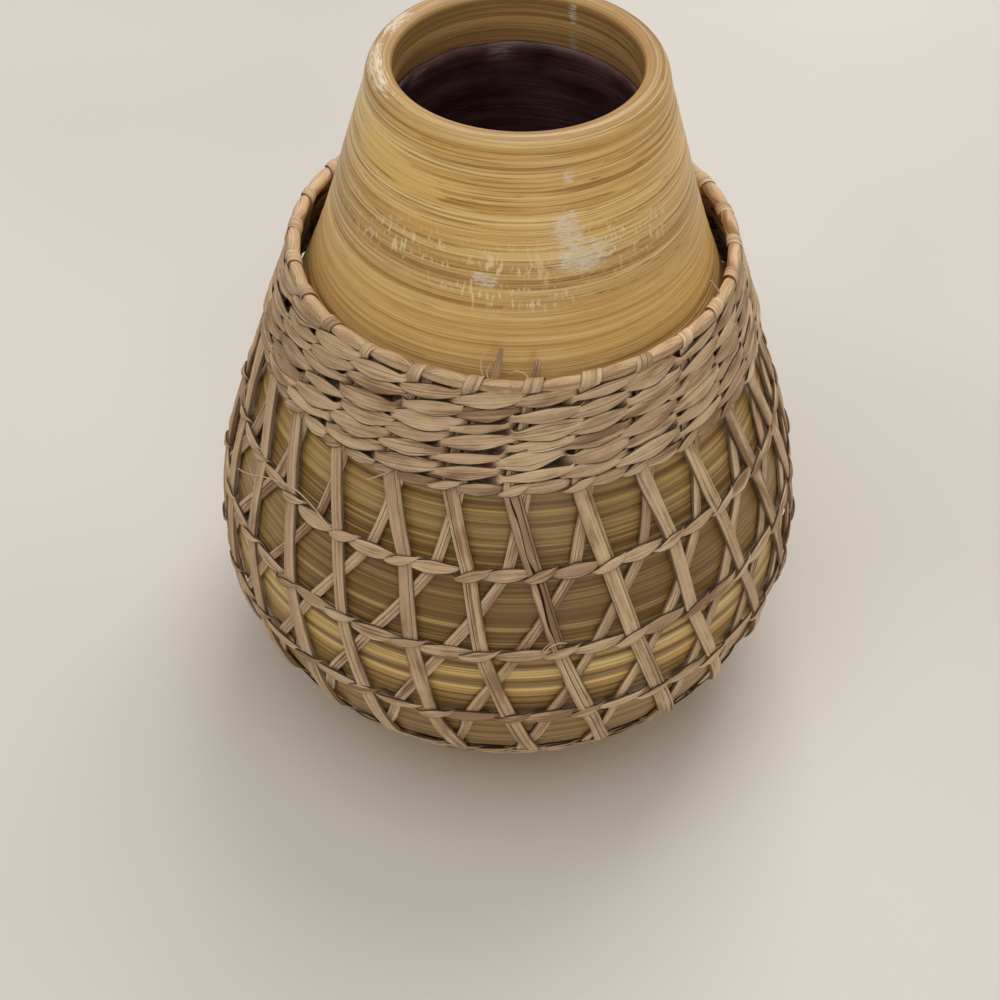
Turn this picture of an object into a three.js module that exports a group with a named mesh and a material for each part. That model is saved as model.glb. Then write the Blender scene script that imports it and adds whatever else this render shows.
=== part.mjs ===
// A spun bamboo vase with a woven leaf sleeve round its belly.
// Millimetres and degrees, +Z up, origin on the table under the middle of the foot.
// The front of the vase faces -Y; angles round it are counted from the front towards +X.

import * as THREE from 'three';

// Bamboo body: outer sizes, and the width of the coiled strip, which is the wall
const HEIGHT = 184.5;
const FOOT_RADIUS = 48;
const FOOT_SPREAD = 1.1;
const FOOT_EASE = 1 / 3;
const BELLY_RADIUS = 75.6;
const BELLY_HEIGHT = 47.5;
const SHOULDER_RADIUS = 42.7;
const SHOULDER_HEIGHT = 148.5;
const SHOULDER_EASE = 0.37;
const NECK_RADIUS = 33.3;
const WALL = 6.7;
const FOOT_RING_WIDTH = 7;
const BASE_THICKNESS = 7;
const RIM_HEIGHT = 6;
const RIM_CROWN_INSET = 3.4;
const RIM_INNER_EASE = 1.8;
const LINING_BELOW_MOUTH = 13;
const LINING_THICKNESS = 0.8;
const GLUE_GAP = 0.3;

// Sleeve: ribbons hang from a hoop, and pairs of strands are twined round them in rows
const RIBBON_PAIRS = 13;
const RIBBON_WIDTH = 3.2;
const RIBBON_WAIST = 2;
const RIBBON_THICKNESS = 0.6;
const STRAND_THICKNESS = 0.6;
const WEAVE_LAYER = 1.75;
const WEAVE_SWING = 1.2;
const UNDERPASS_LAYER = 0.7;
const DIP_START = 0.2;
const DIP_END = 0.6;
const HOOP_HEIGHT = 137.2;
const SLEEVE_FLARE = 3;
const HOOP_WIRE_RADIUS = 1.4;
const FOLD_GAP = 0.3;
const FOLD_WRAP = 310;
const FIRST_FOLD_ANGLE = -8.5;
const LEG_SPACING = 2.6;

// Tight band of rows under the hoop
const BAND_ROWS = 7;
const BAND_DROP = 4.4;
const BAND_PITCH = 3.4;
const BAND_STRAND_WIDTH = 3;
const BAND_CROSSING_WIDTH = 1.3;
const BAND_TWIST = 0.87;
const BAND_LEAN = -4.5;

// Open rows down the belly, then the two closing rows of the lower border
const OPEN_ROW_DROPS = [22, 21.8, 20.8];
const OPEN_STRAND_WIDTH = 3;
const OPEN_CROSSING_WIDTH = 2.2;
const OPEN_TWIST = 1.4;
const BORDER_DROP = 21.6;
const BORDER_ROWS = 2;
const RIBBON_TAIL = 3;
const ROW_RISE = 1.3;
const RIBBON_LEAN = 4.8;
const BORDER_LEAN_SHARE = 1;

// Fineness of the faceted surfaces
const BODY_SEGMENTS = 44;
const BELLY_STEPS = 4;
const SHOULDER_STEPS = 4;
const LIP_STEPS = 3;
const HOOP_SIDES = 6;
const STEPS_PER_TWIST = 4;
const FOLD_STEPS = 6;
const LEAST_STEP = 1;
const TOLERANCE = 1e-4;

const RIBBONS = 2 * RIBBON_PAIRS;
const RIBBON_ANGLE = 360 / RIBBONS;

const bamboo = new THREE.MeshStandardMaterial({ color: 0xb98a45, roughness: 0.35, metalness: 0 });
const lacquer = new THREE.MeshStandardMaterial({ color: 0x21160f, roughness: 0.2, metalness: 0 });
const leaf = new THREE.MeshStandardMaterial({ color: 0xb09273, roughness: 0.7, metalness: 0 });
const reed = new THREE.MeshStandardMaterial({ color: 0xb89c78, roughness: 0.6, metalness: 0 });

const vase = new THREE.Group();

function addPiece(name, geometry, material) {
  const piece = new THREE.Mesh(geometry, material);
  piece.name = name;
  vase.add(piece);
}

// Outer profile of the bamboo as radius and height: foot, belly, shoulder and straight neck
function bodyProfile() {
  const foot = new THREE.Vector2(FOOT_RADIUS, 0);
  const belly = new THREE.Vector2(BELLY_RADIUS, BELLY_HEIGHT);
  const shoulder = new THREE.Vector2(SHOULDER_RADIUS, SHOULDER_HEIGHT);
  const neck = new THREE.Vector2(NECK_RADIUS, HEIGHT - RIM_HEIGHT);
  const neckSlope = neck.clone().sub(shoulder).normalize();
  const footEase = FOOT_EASE * BELLY_HEIGHT;
  const shoulderEase = SHOULDER_EASE * (SHOULDER_HEIGHT - BELLY_HEIGHT);
  const profile = new THREE.CurvePath();
  profile.add(new THREE.CubicBezierCurve(
    foot,
    foot.clone().add(new THREE.Vector2(FOOT_SPREAD * footEase, footEase)),
    belly.clone().sub(new THREE.Vector2(0, footEase)),
    belly,
  ));
  profile.add(new THREE.CubicBezierCurve(
    belly,
    belly.clone().add(new THREE.Vector2(0, shoulderEase)),
    shoulder.clone().addScaledVector(neckSlope, -shoulderEase),
    shoulder,
  ));
  profile.add(new THREE.LineCurve(shoulder, neck));
  return profile;
}

const profile = bodyProfile();
const profileLength = profile.getLength();

// Point of the outer profile at a distance up from the foot, moved out square to the surface
function profilePoint(distance, outwards) {
  const along = THREE.MathUtils.clamp(distance / profileLength, 0, 1);
  const tangent = profile.getTangent(along);
  const point = profile.getPoint(along);
  return new THREE.Vector2(point.x + outwards * tangent.y, point.y - outwards * tangent.x);
}

// Distance up the profile at which a layer of the given depth stands at the given height
function distanceAtHeight(height, outwards) {
  let low = 0;
  let high = profileLength;
  while (high - low > TOLERANCE) {
    const middle = (low + high) / 2;
    if (profilePoint(middle, outwards).y < height) low = middle;
    else high = middle;
  }
  return (low + high) / 2;
}

// Distances up the profile where every layer of the wall has a ring of points
const bellyDistance = profile.curves[0].getLength();
const shoulderDistance = profileLength - profile.curves[2].getLength();
const stations = [];
for (let step = 0; step < BELLY_STEPS; step += 1) {
  stations.push((bellyDistance * step) / BELLY_STEPS);
}
for (let step = 0; step <= SHOULDER_STEPS; step += 1) {
  stations.push(THREE.MathUtils.lerp(bellyDistance, shoulderDistance, step / SHOULDER_STEPS));
}

// A layer of the wall from one height up to another, as points from low to high
function wallLayer(outwards, fromHeight, toHeight) {
  const start = distanceAtHeight(fromHeight, outwards);
  const end = distanceAtHeight(toHeight, outwards);
  const between = stations.filter((place) => place > start + LEAST_STEP && place < end - LEAST_STEP);
  const points = [start, ...between, end].map((place) => profilePoint(place, outwards));
  points[0].y = fromHeight;
  points[points.length - 1].y = toHeight;
  return points;
}

// A body of revolution about the upright axis, from a profile that runs counter-clockwise
function revolve(points) {
  return new THREE.LatheGeometry(points, BODY_SEGMENTS).rotateX(Math.PI / 2);
}

function closed(points) {
  return [...points, points[0].clone()];
}

// The wall: bamboo strip coiled on itself and glued, with a flat foot ring round the base
function wallCoil() {
  const wallTop = HEIGHT - RIM_HEIGHT;
  const seatRadius = FOOT_RADIUS - FOOT_RING_WIDTH;
  const outside = wallLayer(0, 0, wallTop);
  const inside = wallLayer(-WALL, BASE_THICKNESS, wallTop).reverse();
  const seat = [new THREE.Vector2(seatRadius, BASE_THICKNESS), new THREE.Vector2(seatRadius, 0)];
  return revolve(closed([...outside, ...inside, ...seat]));
}

// The base: a flat coil set into the foot ring
function baseDisc() {
  const radius = FOOT_RADIUS - FOOT_RING_WIDTH - GLUE_GAP;
  return revolve([
    new THREE.Vector2(0, 0),
    new THREE.Vector2(radius, 0),
    new THREE.Vector2(radius, BASE_THICKNESS),
    new THREE.Vector2(0, BASE_THICKNESS),
  ]);
}

// The rim: a last hoop of strip, rounded over as the lip of the mouth
function rimCoil() {
  const seatHeight = HEIGHT - RIM_HEIGHT;
  const inner = profilePoint(distanceAtHeight(seatHeight, -WALL), -WALL).x;
  const crown = NECK_RADIUS - RIM_CROWN_INSET;
  const lip = new THREE.Path();
  lip.moveTo(inner, seatHeight + GLUE_GAP);
  lip.lineTo(NECK_RADIUS, seatHeight + GLUE_GAP);
  lip.quadraticCurveTo(NECK_RADIUS, HEIGHT, crown, HEIGHT);
  lip.lineTo(inner + RIM_INNER_EASE, HEIGHT);
  lip.quadraticCurveTo(inner, HEIGHT, inner, HEIGHT - RIM_INNER_EASE);
  return revolve(closed(lip.getPoints(LIP_STEPS)));
}

// The lining: a cup-shaped skin of dark lacquer over the inside of the wall and the base
function lacquerLining() {
  const top = HEIGHT - LINING_BELOW_MOUTH;
  const floor = BASE_THICKNESS + GLUE_GAP;
  const backLayer = -WALL - GLUE_GAP;
  const faceLayer = backLayer - LINING_THICKNESS;
  const back = wallLayer(backLayer, floor, top);
  const face = wallLayer(faceLayer, floor + LINING_THICKNESS, top).reverse();
  return revolve([
    new THREE.Vector2(0, floor),
    ...back,
    ...face,
    new THREE.Vector2(0, floor + LINING_THICKNESS),
  ]);
}

// Drops of the rows below the hoop
const bandEnd = BAND_DROP + (BAND_ROWS - 1) * BAND_PITCH;
const openRows = OPEN_ROW_DROPS.map((_, row) => (
  OPEN_ROW_DROPS.slice(0, row + 1).reduce((sum, drop) => sum + drop, bandEnd)
));
const borderStart = openRows[openRows.length - 1] + BORDER_DROP;
const borderEnd = borderStart + (BORDER_ROWS - 1) * BAND_PITCH;

// A place on the sleeve: degrees round, distance down from the hoop, height above the bamboo.
// The sleeve stands off the neck at the hoop and lies close from the first open row down.
const hoopDistance = distanceAtHeight(HOOP_HEIGHT, WEAVE_LAYER + SLEEVE_FLARE);

function sleevePoint(degrees, drop, layer) {
  const angle = THREE.MathUtils.degToRad(degrees);
  const flare = SLEEVE_FLARE * Math.max(0, 1 - drop / openRows[0]);
  const point = profilePoint(hoopDistance - drop, layer + flare);
  return new THREE.Vector3(point.x * Math.sin(angle), -point.x * Math.cos(angle), point.y);
}

// Degrees that a width takes up round the sleeve at a given drop
function degreesAcross(width, drop) {
  return THREE.MathUtils.radToDeg(width / profilePoint(hoopDistance - drop, WEAVE_LAYER).x);
}

// A closed solid lofted through sections of equally many points, as a ring or with flat ends
function loft(sections, isRing) {
  const sides = sections[0].length;
  const spans = isRing ? sections.length : sections.length - 1;
  const index = [];
  for (let span = 0; span < spans; span += 1) {
    const here = span * sides;
    const next = ((span + 1) % sections.length) * sides;
    for (let side = 0; side < sides; side += 1) {
      const other = (side + 1) % sides;
      index.push(here + side, next + side, next + other, here + side, next + other, here + other);
    }
  }
  if (!isRing) {
    const last = (sections.length - 1) * sides;
    for (let side = 1; side < sides - 1; side += 1) {
      index.push(0, side, side + 1, last, last + side + 1, last + side);
    }
  }
  const geometry = new THREE.BufferGeometry().setFromPoints(sections.flat());
  geometry.setIndex(enclosedVolume(sections.flat(), index) < 0 ? index.reverse() : index);
  geometry.computeVertexNormals();
  return geometry;
}

// Six times the volume that the triangles enclose, below zero when they face inwards
function enclosedVolume(points, index) {
  let volume = 0;
  for (let corner = 0; corner < index.length; corner += 3) {
    const [a, b, c] = [0, 1, 2].map((step) => points[index[corner + step]]);
    volume += a.dot(b.clone().cross(c));
  }
  return volume;
}

// The hoop: one round reed bent into a ring
function topHoop() {
  const sections = [];
  for (let step = 0; step < BODY_SEGMENTS; step += 1) {
    const section = [];
    for (let side = 0; side < HOOP_SIDES; side += 1) {
      const turn = (2 * Math.PI * side) / HOOP_SIDES;
      const drop = HOOP_WIRE_RADIUS * Math.sin(turn);
      const layer = WEAVE_LAYER + HOOP_WIRE_RADIUS * Math.cos(turn);
      section.push(sleevePoint((360 * step) / BODY_SEGMENTS, drop, layer));
    }
    sections.push(section);
  }
  return loft(sections, true);
}

// Angle of a ribbon's outer leg at each open row, counted from its fold
function outerLegAngle(row) {
  return BAND_LEAN - legAngle(bandEnd) + RIBBON_LEAN * row;
}

// Half the angle between the two legs of a ribbon where they lie side by side
function legAngle(drop) {
  return degreesAcross(LEG_SPACING / 2, drop);
}

// Inner legs lean the other way, and lie midway between outer legs at every open row
function innerLegAngle(row) {
  return outerLegAngle(row) - (row - 0.5) * RIBBON_ANGLE;
}

// At the lower border each outer leg pairs with the inner leg that has just crossed under it
const borderRow = OPEN_ROW_DROPS.length + 1;
const borderOuterAngle = outerLegAngle(borderRow - 1 + BORDER_LEAN_SHARE);
const borderPairAngle = borderOuterAngle - legAngle(borderStart);
const borderInnerAngle = borderPairAngle - legAngle(borderStart) - (borderRow - 1) * RIBBON_ANGLE;

// A place down a leg: narrow where rows hold it, full width between them
function heldPlace(drop, angle) {
  return { drop, angle, layer: WEAVE_LAYER, width: RIBBON_WAIST };
}

function freePlace(drop, angle, layer) {
  return { drop, angle, layer, width: RIBBON_WIDTH };
}

// Places down a ribbon's outer leg, from the band to its lower end
function outerLeg() {
  const places = [heldPlace(BAND_DROP, -legAngle(BAND_DROP)), heldPlace(bandEnd, outerLegAngle(0))];
  let above = bandEnd;
  openRows.forEach((drop, row) => {
    places.push(freePlace((above + drop) / 2, outerLegAngle(row + 0.5), WEAVE_LAYER));
    places.push(heldPlace(drop, outerLegAngle(row + 1)));
    above = drop;
  });
  const lastDrop = THREE.MathUtils.lerp(borderStart, above, DIP_START);
  const lastAngle = (outerLegAngle(borderRow - 1) + borderOuterAngle) / 2;
  places.push(
    freePlace((above + lastDrop) / 2, lastAngle, WEAVE_LAYER),
    freePlace(lastDrop, borderOuterAngle, WEAVE_LAYER),
    heldPlace(borderStart, borderOuterAngle),
    heldPlace(borderEnd, borderOuterAngle),
    heldPlace(borderEnd + RIBBON_TAIL, borderOuterAngle),
  );
  return places;
}

// Places down its inner leg, which dips under the outer legs that it crosses between rows
function innerLeg() {
  const bandAngle = BAND_LEAN + legAngle(bandEnd);
  const lastRow = openRows[openRows.length - 1];
  const { lerp } = THREE.MathUtils;
  const places = [
    heldPlace(BAND_DROP, legAngle(BAND_DROP)),
    heldPlace(bandEnd, bandAngle),
    { ...heldPlace(lerp(bandEnd, openRows[0], DIP_START), bandAngle), layer: UNDERPASS_LAYER },
    freePlace(
      lerp(bandEnd, openRows[0], DIP_END),
      lerp(bandAngle, innerLegAngle(1), DIP_END),
      UNDERPASS_LAYER,
    ),
  ];
  openRows.forEach((drop, row) => {
    places.push(heldPlace(drop, innerLegAngle(row + 1)));
    if (row + 1 < openRows.length) {
      const below = openRows[row + 1];
      places.push(freePlace((drop + below) / 2, innerLegAngle(row + 1.5), UNDERPASS_LAYER));
    }
  });
  places.push(
    freePlace(
      lerp(borderStart, lastRow, DIP_END),
      lerp(borderInnerAngle, innerLegAngle(borderRow - 1), DIP_END),
      UNDERPASS_LAYER,
    ),
    { ...heldPlace(lerp(borderStart, lastRow, DIP_START), borderInnerAngle), layer: UNDERPASS_LAYER },
    heldPlace(borderStart, borderInnerAngle),
    heldPlace(borderEnd, borderInnerAngle),
    heldPlace(borderEnd + RIBBON_TAIL, borderInnerAngle),
  );
  return places;
}

// One three-cornered section of a ribbon, creased along the side that faces away
function ribbonSection({ drop, angle, layer, width }, crease) {
  const half = degreesAcross(width / 2, drop);
  const rise = RIBBON_THICKNESS / 2;
  const flat = [drop - crease.drop * rise, layer - crease.layer * rise];
  return [
    sleevePoint(angle - half, ...flat),
    sleevePoint(angle + half, ...flat),
    sleevePoint(angle, drop + crease.drop * rise, layer + crease.layer * rise),
  ];
}

// A ribbon: one long leaf folded over the hoop, with both legs woven into the sleeve
function leafRibbon(foldAngle) {
  const turned = (place) => ({ ...place, angle: foldAngle + place.angle });
  const sections = outerLeg().reverse().map((place) => (
    ribbonSection(turned(place), { drop: 0, layer: 1 })
  ));
  const foldRadius = HOOP_WIRE_RADIUS + FOLD_GAP + RIBBON_THICKNESS / 2;
  for (let step = 0; step <= FOLD_STEPS; step += 1) {
    const share = step / FOLD_STEPS;
    const turn = THREE.MathUtils.degToRad(90 + FOLD_WRAP * (share - 0.5));
    const crease = { drop: -Math.sin(turn), layer: Math.cos(turn) };
    const place = heldPlace(crease.drop * foldRadius, (2 * share - 1) * legAngle(0));
    place.layer += crease.layer * foldRadius;
    sections.push(ribbonSection(turned(place), crease));
  }
  sections.push(...innerLeg().map((place) => (
    ribbonSection(turned(place), { drop: 0, layer: -1 })
  )));
  return loft(sections, false);
}

// One of the two strands of a row: in front of every second stake and behind the next,
// passing over its twin one way and under it the other way between them
function rowStrand(row, side) {
  const steps = STEPS_PER_TWIST * row.twists;
  const sections = [];
  for (let step = 0; step < steps; step += 1) {
    const degrees = row.front + (360 * step) / steps;
    const turn = (2 * Math.PI * step) / STEPS_PER_TWIST;
    const rise = row.rise * Math.sin(THREE.MathUtils.degToRad(degrees));
    const drop = row.drop - rise - side * row.twist * Math.sin(turn);
    const layer = WEAVE_LAYER + side * WEAVE_SWING * Math.cos(turn);
    const half = THREE.MathUtils.lerp(row.crossingWidth, row.width, Math.abs(Math.cos(turn))) / 2;
    sections.push([
      sleevePoint(degrees, drop + half, layer - STRAND_THICKNESS / 2),
      sleevePoint(degrees, drop - half, layer - STRAND_THICKNESS / 2),
      sleevePoint(degrees, drop, layer + STRAND_THICKNESS / 2),
    ]);
  }
  return loft(sections, true);
}

function addRow(name, row) {
  addPiece(`${name}_strand_a`, rowStrand(row, 1), leaf);
  addPiece(`${name}_strand_b`, rowStrand(row, -1), leaf);
}

addPiece('wall_coil', wallCoil(), bamboo);
addPiece('base_disc', baseDisc(), bamboo);
addPiece('rim_coil', rimCoil(), bamboo);
addPiece('lacquer_lining', lacquerLining(), lacquer);
addPiece('top_hoop', topHoop(), reed);

for (let ribbon = 0; ribbon < RIBBONS; ribbon += 1) {
  const number = String(ribbon + 1).padStart(2, '0');
  addPiece(`leaf_ribbon_${number}`, leafRibbon(FIRST_FOLD_ANGLE + ribbon * RIBBON_ANGLE), leaf);
}

const tightRow = {
  twists: RIBBON_PAIRS,
  twist: BAND_TWIST,
  width: BAND_STRAND_WIDTH,
  crossingWidth: BAND_CROSSING_WIDTH,
};

for (let row = 0; row < BAND_ROWS; row += 1) {
  const share = row / (BAND_ROWS - 1);
  addRow(`band_row_${row + 1}`, {
    ...tightRow,
    drop: BAND_DROP + row * BAND_PITCH,
    front: FIRST_FOLD_ANGLE + BAND_LEAN * share,
    rise: ROW_RISE * share,
  });
}

openRows.forEach((drop, row) => addRow(`open_row_${row + 1}`, {
  twists: RIBBONS,
  twist: OPEN_TWIST,
  width: OPEN_STRAND_WIDTH,
  crossingWidth: OPEN_CROSSING_WIDTH,
  drop,
  front: FIRST_FOLD_ANGLE + outerLegAngle(row + 1),
  rise: ROW_RISE,
}));

for (let row = 0; row < BORDER_ROWS; row += 1) {
  addRow(`lower_border_row_${row + 1}`, {
    ...tightRow,
    drop: borderStart + row * BAND_PITCH,
    front: FIRST_FOLD_ANGLE + borderPairAngle,
    rise: ROW_RISE,
  });
}

export default vase;
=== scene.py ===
import math

import bpy
import numpy as np
from mathutils import Matrix, Vector


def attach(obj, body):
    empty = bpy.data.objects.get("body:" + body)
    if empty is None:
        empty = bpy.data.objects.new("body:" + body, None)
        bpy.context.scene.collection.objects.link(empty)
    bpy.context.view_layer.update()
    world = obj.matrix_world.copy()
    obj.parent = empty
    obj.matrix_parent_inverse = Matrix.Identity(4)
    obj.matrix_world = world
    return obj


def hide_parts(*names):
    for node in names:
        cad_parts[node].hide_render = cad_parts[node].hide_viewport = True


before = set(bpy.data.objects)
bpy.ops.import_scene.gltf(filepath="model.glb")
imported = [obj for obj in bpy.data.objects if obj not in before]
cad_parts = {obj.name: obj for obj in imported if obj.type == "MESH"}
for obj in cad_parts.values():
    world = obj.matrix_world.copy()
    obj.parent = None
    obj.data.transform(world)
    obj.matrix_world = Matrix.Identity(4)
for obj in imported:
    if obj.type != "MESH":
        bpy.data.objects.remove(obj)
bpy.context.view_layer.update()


# Wall: bamboo split into thin strip, coiled turn on turn from the foot up, glued and pressed to a pear.
# Sanded and lacquered outside, so the turns show as fine level lines; the first turns are the foot ring.
# All sizes in this file are in millimetres and degrees; MM turns them into the frame's metres.
MM = 0.001
HEIGHT = 184.5
FOOT_RADIUS = 48.0
FOOT_SPREAD = 1.1
FOOT_EASE = 1 / 3
BELLY_RADIUS = 75.6
BELLY_HEIGHT = 47.5
SHOULDER_RADIUS = 42.7
SHOULDER_HEIGHT = 148.5
SHOULDER_EASE = 0.37
NECK_RADIUS = 33.3
WALL = 6.7
FOOT_RING_WIDTH = 7.0
BASE_THICKNESS = 7.0
RIM_HEIGHT = 6.0
TURN_HEIGHT = 0.95
TURN_RELIEF = 0.06
STRIP_RADIUS = 40.0
PROFILE_STEPS = 300
BODY_SEGMENTS = 180
INSIDE_STEP = 1.6
SHARP_CORNER = 60.0

BAMBOO_PALE = (240, 208, 138)
BAMBOO_STRAW = (224, 182, 108)
BAMBOO_HONEY = (207, 161, 88)
BAMBOO_STREAK = (142, 94, 40)
BAMBOO_SPECK = (92, 58, 28)
BAMBOO_STRIPE = (202, 171, 103)
BAMBOO_UMBER = (112, 78, 35)
BAMBOO_BARE = (222, 170, 112)
BAMBOO_SKIN = (236, 198, 114)
BAMBOO_TICK = (236, 212, 160)
BAMBOO_SCUFF_AND_SHEEN = (232, 218, 196)
BODY_SHADES = [(0.1, BAMBOO_HONEY), (0.5, BAMBOO_STRAW), (0.85, BAMBOO_PALE)]
SMOOTH_SHADES = [(0.3, BAMBOO_HONEY), (0.7, BAMBOO_STRAW)]

# Grains of the strip: counts per millimetre across the vase both ways and up the coil, then finer detail.
BAMBOO_GRAINS = {
    "turns": (0.012, 0.012, 1.1, 3.0),
    "zones": (0.006, 0.006, 0.26, 2.0),
    "lines": (0.018, 0.018, 1.7, 3.0),
    "edges": (0.03, 0.03, 2.4, 3.0),
    "hairs": (0.03, 0.03, 3.8, 3.0),
    "dashes": (0.13, 0.13, 2.0, 2.0),
    "ticks": (1.25, 1.25, 0.4, 2.0),
    "clusters": (0.14, 0.14, 0.4, 2.0),
    "hatching": (0.5, 0.5, 4.2, 5.0),
}
# Lines in the strip: their grain, where in it they start and are full, their strength and their colour.
BAMBOO_LINES = [
    ("lines", 0.58, 0.62, 0.6, BAMBOO_STREAK),
    ("lines", 0.42, 0.38, 0.6, BAMBOO_PALE),
    ("edges", 0.59, 0.63, 0.55, BAMBOO_STREAK),
    ("hairs", 0.56, 0.64, 0.45, BAMBOO_STREAK),
    ("dashes", 0.66, 0.72, 0.55, BAMBOO_SPECK),
]
# Ranges of a value over which a colour comes in, with its strength where that isn't full.
ZONE_SHARE = 0.6
BODY_RANGE = (0.45, 1.15)
SKIN_SHARE = 0.9
SKIN_RANGE = (0.82, 0.94, 0.6)
UMBER_RANGE = (0.0, -1.0)
UMBER_TURNS = (1.1, 0.3)
STRIPE_RANGE = (0.0, 1.0)
STRIPE_TURNS = (0.25, 0.45)
TICK_RANGE = (0.54, 0.6, 0.85)
CLUSTER_RANGE = (0.42, 0.56)
SCUFF_AND_SHEEN_SHARE = 0.45
SCUFF_AND_SHEEN_RANGE = (0.82, 0.98, 0.7)
BAMBOO_ROUGHNESS = (0.34, 0.52)
BAMBOO_SHEEN = {"Specular IOR Level": 0.35, "Coat Weight": 0.1, "Coat Roughness": 0.22}
BAMBOO_BUMP = (0.5, 0.25)

# Marks: degrees round the vase, height or depth below the lip, half sizes round and up, and any strength.
# The last scuff, high on the neck, is a painted highlight: a pale gloss smear, not worn lacquer.
SCUFFS_AND_SHEEN = [(17, 166, 9, 8), (22, 160, 18, 7), (-9, 156, 8, 3.5), (18, 176.5, 4, 3)]
TICK_BANDS = [(-26, 159, 56, 7), (36, 161, 28, 8), (-2, 153, 30, 5)]
LEFT_SKINS = [(-56, 173.5, 26, 4), (-38, 171.5, 20, 2.5)]
SMOOTH_TURNS = [(0, 143, 700, 9, 0.5), (0, 44, 700, 14, 0.8)]
INSIDE_MARKS = [(153, 3, 4, 7), (152, 6.5, 9, 2.4)]
PATCH_EDGE = 1.6
# Belts of tone: distance up the coil, half width and strength, which is below nothing for umber.
# The belly belt is partly the belly's darker bamboo and partly painted shade from the sleeve's overhang,
# strongest at the front.
BELLY_TONE_AND_SHADE = (80.0, 72.0, -1.25)
SIDE_TONE_AND_SHADE_SHARE = 0.48
FRONT_FOCUS = 3
COIL_TONES = [
    (58.0, 9.0, 0.35), (67.6, 1.9, 1.3), (73.0, 2.1, 1.4), (77.4, 0.9, 1.1), (112.0, 0.6, 0.65),
    (115.4, 0.7, 0.75), (117.8, 0.6, 0.65), (121.0, 0.7, 0.75), (124.0, 0.6, 0.65),
    (118.0, 16.0, -0.2), (171.0, 11.0, -0.3),
]
BELT_EDGE = 1.5
INSIDE_BARE = 0.5

SCREEN_TOP = 255
SCREEN_FOOT = 0.055
SCREEN_POWER = 2.4
SEED = 17
seeded = np.random.default_rng(SEED)


def linear(colour):
    """A colour given as 0 to 255 on screen, as the light values that shaders take."""
    shares = [(part / SCREEN_TOP + SCREEN_FOOT) / (1 + SCREEN_FOOT) for part in colour]
    return tuple(share ** SCREEN_POWER for share in shares) + (1.0,)


def between(low, high, share):
    """A value at a share of the way from low to high."""
    return low + share * (high - low)


def bowed_line(start, start_pull, end_pull, end):
    """Points of a line that leaves start towards one pull and reaches end from the other."""
    share = np.linspace(0, 1, PROFILE_STEPS)[:, None]
    rest = 1 - share
    return (rest ** 3 * start + 3 * rest ** 2 * share * start_pull
            + 3 * rest * share ** 2 * end_pull + share ** 3 * end)


def distances_along(outline):
    """Distance along an outline to each of its points."""
    steps = np.linalg.norm(np.diff(outline, axis=0), axis=1)
    return np.concatenate([[0], np.cumsum(steps)])


wall_top = HEIGHT - RIM_HEIGHT
foot = np.array([FOOT_RADIUS, 0.0])
belly = np.array([BELLY_RADIUS, BELLY_HEIGHT])
shoulder = np.array([SHOULDER_RADIUS, SHOULDER_HEIGHT])
neck = np.array([NECK_RADIUS, wall_top])
foot_ease = FOOT_EASE * BELLY_HEIGHT
shoulder_ease = SHOULDER_EASE * (SHOULDER_HEIGHT - BELLY_HEIGHT)
neck_slope = (neck - shoulder) / np.linalg.norm(neck - shoulder)
lower_line = bowed_line(foot, foot + foot_ease * np.array([FOOT_SPREAD, 1]),
                        belly - np.array([0, foot_ease]), belly)
upper_line = bowed_line(belly, belly + np.array([0, shoulder_ease]),
                        shoulder - shoulder_ease * neck_slope, shoulder)
neck_line = np.linspace(shoulder, neck, PROFILE_STEPS)
profile = np.vstack([lower_line[:-1], upper_line[:-1], neck_line])
profile_distance = distances_along(profile)
profile_length = profile_distance[-1]
profile_slope = np.gradient(profile, axis=0)
profile_slope /= np.linalg.norm(profile_slope, axis=1)[:, None]


def profile_place(distance, outwards):
    """Radius and height at a distance up the outside, moved out square to the surface."""
    radius = np.interp(distance, profile_distance, profile[:, 0])
    height = np.interp(distance, profile_distance, profile[:, 1])
    slope_out = np.interp(distance, profile_distance, profile_slope[:, 0])
    slope_up = np.interp(distance, profile_distance, profile_slope[:, 1])
    return np.stack([radius + outwards * slope_up, height - outwards * slope_out], axis=-1)


def distance_at_height(height, outwards):
    """Distance up the outside at which a layer of the given depth stands at a height."""
    layer = profile_place(profile_distance, outwards)
    return float(np.interp(height, layer[:, 1], profile_distance))


def loop_faces(rows, columns, is_ring):
    """Four-sided faces over a net of points that is closed along its columns, and as a ring along rows."""
    row = np.arange(rows if is_ring else rows - 1)[:, None]
    column = np.arange(columns)[None, :]
    after = (row + 1) % rows
    beside = (column + 1) % columns
    faces = np.stack([row * columns + column, row * columns + beside,
                      after * columns + beside, after * columns + column], axis=-1)
    return faces.reshape(-1, 4).tolist()


def faces_outwards(points, faces):
    """Whether the faces enclose the points with their fronts outside."""
    corners = np.array([face[:3] for face in faces])
    first, second, third = (points[corners[:, corner]] for corner in range(3))
    return np.einsum("ij,ij->i", first, np.cross(second, third)).sum() > 0


def add_piece(name, points, faces, traits, material, node, sharp_angle=None):
    """A smooth closed mesh of the vase that rides on its body and, where it has one, stands for a node."""
    points = points.reshape(-1, 3)
    if not faces_outwards(points, faces):
        faces = [face[::-1] for face in faces]
    mesh = bpy.data.meshes.new(name)
    mesh.from_pydata((points * MM).tolist(), [], faces)
    mesh.polygons.foreach_set("use_smooth", [True] * len(faces))
    if sharp_angle:
        mesh.set_sharp_from_angle(angle=math.radians(sharp_angle))
    for trait, values in traits.items():
        attribute = mesh.attributes.new(trait, "FLOAT_VECTOR", "POINT")
        attribute.data.foreach_set("vector", values.reshape(-1).astype(np.float32))
    mesh.materials.append(material)
    piece = bpy.data.objects.new(name, mesh)
    bpy.context.scene.collection.objects.link(piece)
    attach(piece, "root")
    if node:
        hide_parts(node)


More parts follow.
